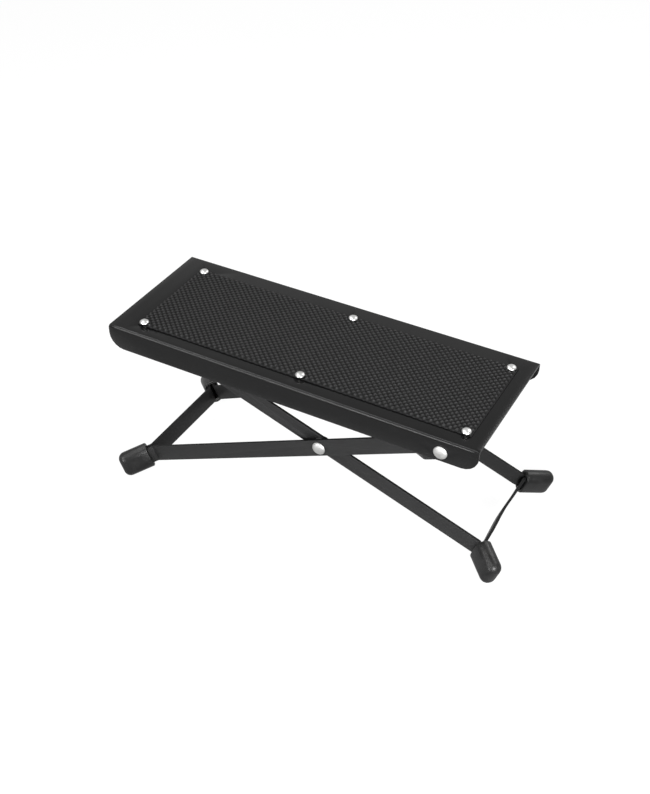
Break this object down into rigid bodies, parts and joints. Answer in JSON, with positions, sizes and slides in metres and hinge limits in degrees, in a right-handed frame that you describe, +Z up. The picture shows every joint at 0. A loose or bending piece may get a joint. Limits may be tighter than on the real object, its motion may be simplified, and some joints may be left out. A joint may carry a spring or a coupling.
{
  "type": "folding guitar footrest",
  "caption": "Folding footrest: a flanged steel platform with a rubber tread mat on crossed strip-steel frames, set higher or lower by a rod under a notched rack.",
  "frame": {"origin": "middle of the floor under the part, standing in its lowest setting", "axes": "+X along the platform towards its hinged end, +Y across it, +Z up"},
  "size_m": [0.3278, 0.133, 0.1448],
  "materials": {
    "black_powder_coat": "satin black powder coat",
    "mat_rubber": "matt black rubber, moulded weave",
    "cap_rubber": "satin black moulded rubber",
    "bright_zinc": "bright zinc plate"
  },
  "bodies": {
    "platform": {"platform_plate": "black_powder_coat", "tread_mat": "mat_rubber", "mat_rivet_near_1": "bright_zinc", "mat_rivet_near_2": "bright_zinc", "mat_rivet_near_3": "bright_zinc", "mat_rivet_far_1": "bright_zinc", "mat_rivet_far_2": "bright_zinc", "mat_rivet_far_3": "bright_zinc", "notched_rack": "black_powder_coat", "rack_rivet_left": "bright_zinc", "rack_rivet_right": "bright_zinc", "hinge_rivet_near": "bright_zinc", "hinge_rivet_far": "bright_zinc", "hinge_washer_near": "bright_zinc", "hinge_washer_far": "bright_zinc"},
    "hinged_frame": {"hinged_leg_frame": "black_powder_coat", "hinged_foot_cap_near": "cap_rubber", "hinged_foot_cap_far": "cap_rubber", "scissor_rivet_near": "bright_zinc", "scissor_rivet_far": "bright_zinc", "scissor_spacer_near": "bright_zinc", "scissor_spacer_far": "bright_zinc"},
    "locking_frame": {"locking_leg_frame": "black_powder_coat", "locking_foot_cap_near": "cap_rubber", "locking_foot_cap_far": "cap_rubber", "locking_rod": "bright_zinc", "scissor_washer_near": "bright_zinc", "scissor_washer_far": "bright_zinc"}
  },
  "joints": [
    {"name": "platform_fold", "type": "hinge", "parent": "hinged_frame", "child": "platform", "pos_m": [0.12004, 0, 0.10723], "axis": [0, -1, 0], "range_deg": [-15, 23.9]},
    {"name": "locking_frame_swing", "type": "hinge", "parent": "hinged_frame", "child": "locking_frame", "pos_m": [0.01863, 0, 0.07145], "axis": [0, -1, 0], "range_deg": [-26.5, 42.2]}
  ],
  "couplings": [
    {"joint": "locking_frame_swing", "follows": "platform_fold", "ratio": 1.76}
  ]
}
